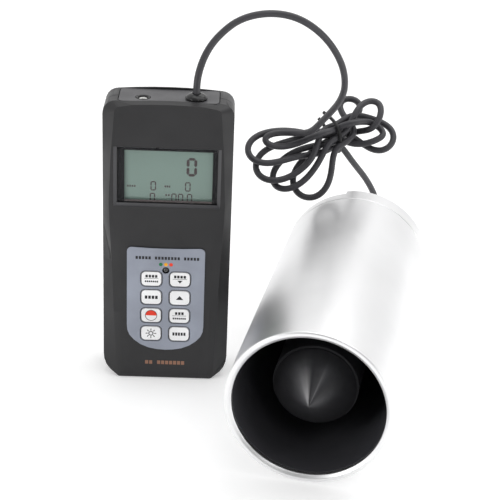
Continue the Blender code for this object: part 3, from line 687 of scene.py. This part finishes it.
# ------------------------------------------------------------------ keys and their marks
class KeyMarks:
    """The marks printed on one key, placed from the key's centre in mm."""

    def __init__(self, node):
        low, high = box_mm(node)
        self.node = node
        self.x, self.z = (low.x + high.x) / 2, (low.z + high.z) / 2
        self.face = low.y + 0.01
        self.inks = []

    def add(self, shape, look=INK):
        shape = [(self.x + p, self.z + q) for p, q in shape]
        name = "%s_mark_%d" % (self.node, len(self.inks))
        self.inks.append(flat(name, shape, self.face, look, body=BODY_OF[self.node], slot="key"))

    def word(self, z, letters, pitch, height):
        """A row of plain blocks where a word would be."""
        for k in range(letters):
            self.add(bar((k - (letters - 1) / 2) * pitch, z, pitch * 0.74, height))

    def ring(self, outer, inner):
        for start in (0, 180):
            self.add(arc(0, 0, outer, start, start + 180, 28)
                     + arc(0, 0, inner, start, start + 180, 28)[::-1])

    def half_filled_disc(self):
        self.add(arc(0, 0, 3.1, 0, 180, 28), INK_RED)
        self.ring(3.25, 2.95)

    def sun(self):
        self.ring(1.4, 0.88)
        near, far, half = 1.75, 2.9, 0.24
        for k in range(8):
            c, s = cos(radians(45 * k)), sin(radians(45 * k))
            spoke = [(near, -half), (far, -half), (far, half), (near, half)]
            self.add([(p * c - q * s, p * s + q * c) for p, q in spoke])

    def up_triangle(self):
        self.add([(-2.0, -1.1), (2.0, -1.1), (0, 1.2)])

    def over_line(self, letters):
        """A word over a thin line, as on the keys with two meanings."""
        self.word(1.6, letters, 1.7, 1.6)
        self.add(bar(0, 0.2, 7.6, 0.2))

    def down_triangle(self):
        self.add([(-1.4, -0.6), (1.4, -0.6), (0, -2.2)])

    def small_word(self):
        self.word(-1.5, 7, 1.05, 1.0)


def mark_key(node):
    marks = KeyMarks(node)
    if node == "key_1_left":
        marks.over_line(4)
        marks.small_word()
    elif node == "key_1_right":
        marks.over_line(4)
        marks.down_triangle()
    elif node == "key_2_left":
        marks.word(0, 4, 1.85, 1.9)
    elif node == "key_2_right":
        marks.up_triangle()
    elif node == "key_3_left":
        marks.half_filled_disc()
    elif node == "key_3_right":
        marks.over_line(3)
        marks.small_word()
    elif node == "key_4_left":
        marks.sun()
    elif node == "key_4_right":
        marks.word(0, 5, 1.5, 1.9)
    join(marks.inks, node + "_marks")


KEYS = sorted(name for name in NODES if name.startswith("key_") and name[4].isdigit())
for name in KEYS:
    refined(name, KEY, bevel=0.25, angle=40)
    mark_key(name)


# ------------------------------------------------------------------ prints on the case, and painted shade round the keys
def label_prints():
    """On the label: three lamp legends, plain blocks for a title, and a thin dark ring round each key
    that is painted shade of the gap round it.
    """
    y = box_mm("keypad_label")[0].y + 0.01
    prints = []
    for x, look in ((-2.75, INK_GREEN), (0.0, INK_AMBER), (2.75, INK_RED)):
        prints.append(flat("legend_dot", disc(x, 69.7, 1.0), y, look))
    gaps = (5, 14)
    for k in range(20):
        if k not in gaps:
            prints.append(flat("title_block", bar(-15.6 + 1.72 * k, 73.4, 1.22, 1.7), y, INK))
    for name in KEYS:
        low, high = box_mm(name)
        x, z = (low.x + high.x) / 2, (low.z + high.z) / 2
        # Painted shade: a thin dark ring where the gap round the key lies.
        for side in (-1, 1):
            outer = half_ring(x, z, 12.1, 9.7, 2.85, side)
            inner = half_ring(x, z, 11.5, 9.1, 2.55, side)
            prints.append(flat("key_gap_shade_ring", outer + inner[::-1], y, KEY_GAP_SHADE, 0.03))
    join(prints, "label_prints")


def lower_prints():
    """Copper blocks near the lower end, in two groups."""
    blocks = [bar(-9.9 + 2.2 * k, 9.6, 1.7, 2.2) for k in range(10) if k != 2]
    join([flat("lower_block", block, FACE_FRONT + 0.01, INK_COPPER, slot="case") for block in blocks],
         "lower_prints")


label_prints()
lower_prints()


# ------------------------------------------------------------------ cable
CABLE_R = 1.87
CABLE_START = Vector((14.0, -3.5, 149.0)) * MM
TIE_R = 1.0


def ring_centres(node, start):
    """Centre line of a tube mesh, walked ring by ring from the end near start."""
    mesh = NODES[node].data
    number = {}
    verts = []
    index = []
    for v in mesh.vertices:
        key = tuple(round(c / WELD) for c in v.co)
        if key not in number:
            number[key] = len(verts)
            verts.append(np.array(v.co))
        index.append(number[key])
    near = [set() for _ in verts]
    for e in mesh.edges:
        a, b = (index[i] for i in e.vertices)
        if a != b:
            near[a].add(b)
            near[b].add(a)
    verts = np.array(verts)
    gap = np.linalg.norm(verts - np.array(start), axis=1)
    level = {int(i) for i in np.where(gap < gap.min() + 0.4 * MM)[0]}
    seen = set(level)
    centres = []
    while level:
        centres.append(verts[sorted(level)].mean(axis=0))
        level = set().union(*(near[i] for i in level)) - seen
        seen |= level
    return np.array(centres)


def soften(line, rounds):
    for _ in range(rounds):
        line[1:-1] = 0.25 * line[:-2] + 0.5 * line[1:-1] + 0.25 * line[2:]
    return line


def tube(name, line, radius, look, node):
    """A smooth round cord along a line of points, in place of a CAD node."""
    curve = bpy.data.curves.new(name, "CURVE")
    curve.dimensions = "3D"
    curve.bevel_depth = radius * MM
    curve.bevel_resolution = 6
    curve.use_fill_caps = True
    curve.resolution_u = 5
    spline = curve.splines.new("NURBS")
    spline.points.add(len(line) - 1)
    for point, where in zip(spline.points, line):
        point.co = (*where, 1)
    spline.order_u = 4
    spline.use_endpoint_u = True
    obj = bpy.data.objects.new(name, curve)
    obj.data.materials.append(look.mat)
    place(obj, ROOT, "rubber")
    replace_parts(obj, node)


def tie_centres(cable_line):
    """The CAD tie's centre line, smoothed and then eased off the cable that it holds."""
    least = (CABLE_R + TIE_R + 0.12) * MM
    corners = [v.co for v in NODES["hank_tie"].data.vertices]
    tail_end = max(corners, key=lambda co: (round(co.z * 0.4 - co.x * 0.9, 6), co.y))
    line = soften(ring_centres("hank_tie", tail_end), 3)
    for _ in range(60):
        line = soften(line, 1)
        for k, here in enumerate(line):
            away = here - cable_line
            gap = np.linalg.norm(away, axis=1)
            nearest = int(gap.argmin())
            if gap[nearest] < least:
                line[k] = here + away[nearest] / gap[nearest] * (least - gap[nearest])
    return line


cable_line = ring_centres("signal_cable", CABLE_START)
tube("signal_cable_smooth", cable_line, CABLE_R, RUBBER, "signal_cable")
tube("hank_tie_smooth", tie_centres(cable_line), TIE_R, TIE, "hank_tie")


# ------------------------------------------------------------------ floor, light, camera
def pale_floor():
    bpy.ops.mesh.primitive_plane_add(size=6, location=(0, 0, -0.4 * MM))
    floor = bpy.context.object
    floor.name = "floor"
    look = Look("floor_white", (0.82, 0.82, 0.82), 0.6, spec=0.2)
    look.vary_rough(look.noise(5, 3), 0.05)
    look.shader.inputs["Emission Color"].default_value = (1, 1, 1, 1)
    look.shader.inputs["Emission Strength"].default_value = 0.33
    floor.data.materials.append(look.mat)


def studio_walls():
    """White surroundings, dimmer on the viewer's side so that dark plastic stays dark."""
    world = bpy.data.worlds.new("studio")
    bpy.context.scene.world = world
    world.use_nodes = True
    nodes, links = world.node_tree.nodes, world.node_tree.links
    direction = nodes.new("ShaderNodeTexCoord")
    split = nodes.new("ShaderNodeSeparateXYZ")
    links.new(direction.outputs["Generated"], split.inputs[0])
    dimming = nodes.new("ShaderNodeMapRange")
    for key, value in (("From Min", -0.75), ("From Max", 0.1), ("To Min", 0.28), ("To Max", 0.92)):
        dimming.inputs[key].default_value = value
    links.new(split.outputs["Y"], dimming.inputs["Value"])
    links.new(dimming.outputs["Result"], nodes["Background"].inputs["Strength"])
    nodes["Background"].inputs["Color"].default_value = (1, 1, 1, 1)


def softbox(name, where, target, size, power):
    light = bpy.data.lights.new(name, "AREA")
    light.shape = "RECTANGLE"
    light.size, light.size_y = size
    light.energy = power
    obj = bpy.data.objects.new(name, light)
    obj.location = where
    obj.rotation_euler = (Vector(target) - Vector(where)).to_track_quat("-Z", "Y").to_euler()
    bpy.context.scene.collection.objects.link(obj)


def view_camera(eye, yaw, pitch, roll, focal_ratio):
    """Camera at eye, turned right by yaw, down by pitch and tilted by roll, all in degrees.

    focal_ratio is the focal length over the picture's width.
    """
    yaw, pitch, roll = radians(yaw), radians(pitch), radians(roll)
    forward = Vector((sin(yaw) * cos(pitch), cos(yaw) * cos(pitch), -sin(pitch)))
    right = Vector((cos(yaw), -sin(yaw), 0))
    down = forward.cross(right)
    tilted_right = cos(roll) * right + sin(roll) * down
    tilted_down = -sin(roll) * right + cos(roll) * down
    turn = Matrix((tilted_right, -tilted_down, -forward)).transposed()
    lens = bpy.data.cameras.new("view")
    lens.sensor_width = 36
    lens.lens = lens.sensor_width * focal_ratio
    camera = bpy.data.objects.new("view", lens)
    camera.matrix_world = Matrix.Translation(eye) @ turn.to_4x4()
    bpy.context.scene.collection.objects.link(camera)
    bpy.context.scene.camera = camera


pale_floor()
studio_walls()
MIDST = (0.07, -0.05, 0.05)
softbox("top_soft", (0.4, 0.2, 1.2), (0.05, 0, 0.05), (1.4, 1.4), 6.5)
softbox("front_left", (-1.0, -0.8, 0.5), MIDST, (0.3, 0.5), 3.5)
softbox("front_high", (0.5, -1.1, 1.0), MIDST, (0.12, 0.5), 1.2)
softbox("front_right", (1.2, -0.55, 0.15), MIDST, (0.25, 0.4), 1.6)
view_camera(Vector((0.0302, -0.7010, 0.3947)), 1.2, 24.67, -2.36, 2.838)
bpy.context.scene.view_settings.view_transform = "Standard"
